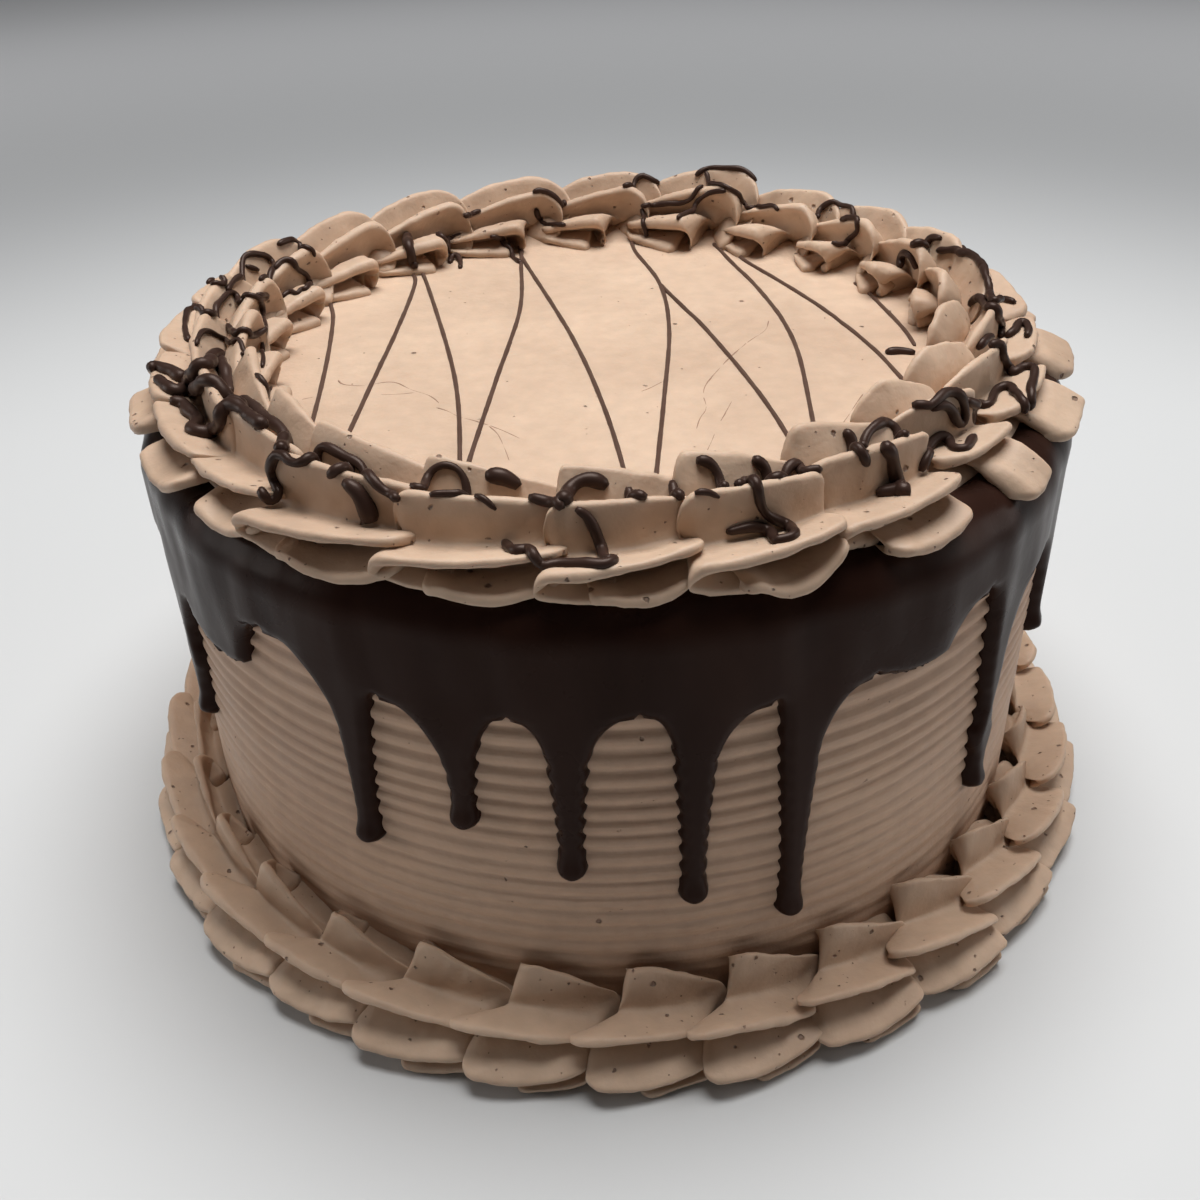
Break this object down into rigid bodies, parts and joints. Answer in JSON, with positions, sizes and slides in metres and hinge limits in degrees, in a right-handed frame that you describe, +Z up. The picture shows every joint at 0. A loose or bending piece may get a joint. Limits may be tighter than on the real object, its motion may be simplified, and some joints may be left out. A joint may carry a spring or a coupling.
{
  "type": "dulce de leche cake",
  "caption": "Round iced layer cake with a combed side, a chocolate collar running down in drips, chocolate lines on top, and piped shell borders on top and round the foot.",
  "frame": {"origin": "middle of the cake's flat foot, on the surface that it stands on", "axes": "+Z up through the middle of the cake, -Y towards the front that the picture shows, +X to the right of that front"},
  "size_m": [0.2476, 0.2486, 0.1295],
  "materials": {
    "icing": "smooth matte whipped icing, light caramel tan",
    "piped_icing": "soft satin whipped icing, caramel tan, with small air pits",
    "chocolate": "set dark chocolate glaze, satin"
  },
  "bodies": {
    "root": {"cake": "icing", "chocolate_collar": "chocolate", "top_shell_01": "piped_icing", "top_shell_02": "piped_icing", "top_shell_03": "piped_icing", "top_shell_04": "piped_icing", "top_shell_05": "piped_icing", "top_shell_06": "piped_icing", "top_shell_07": "piped_icing", "top_shell_08": "piped_icing", "top_shell_09": "piped_icing", "top_shell_10": "piped_icing", "top_shell_11": "piped_icing", "top_shell_12": "piped_icing", "top_shell_13": "piped_icing", "top_shell_14": "piped_icing", "top_shell_15": "piped_icing", "top_shell_16": "piped_icing", "top_shell_17": "piped_icing", "top_shell_18": "piped_icing", "top_shell_19": "piped_icing", "top_shell_20": "piped_icing", "top_shell_21": "piped_icing", "top_shell_22": "piped_icing", "foot_shell_01": "piped_icing", "foot_shell_02": "piped_icing", "foot_shell_03": "piped_icing", "foot_shell_04": "piped_icing", "foot_shell_05": "piped_icing", "foot_shell_06": "piped_icing", "foot_shell_07": "piped_icing", "foot_shell_08": "piped_icing", "foot_shell_09": "piped_icing", "foot_shell_10": "piped_icing", "foot_shell_11": "piped_icing", "foot_shell_12": "piped_icing", "foot_shell_13": "piped_icing", "foot_shell_14": "piped_icing", "foot_shell_15": "piped_icing", "foot_shell_16": "piped_icing", "foot_shell_17": "piped_icing", "foot_shell_18": "piped_icing", "foot_shell_19": "piped_icing", "foot_shell_20": "piped_icing", "foot_shell_21": "piped_icing", "foot_shell_22": "piped_icing", "foot_shell_23": "piped_icing", "foot_shell_24": "piped_icing", "foot_shell_25": "piped_icing", "foot_shell_26": "piped_icing", "foot_shell_27": "piped_icing", "foot_shell_28": "piped_icing", "foot_shell_29": "piped_icing", "foot_shell_30": "piped_icing"}
  },
  "joints": []
}
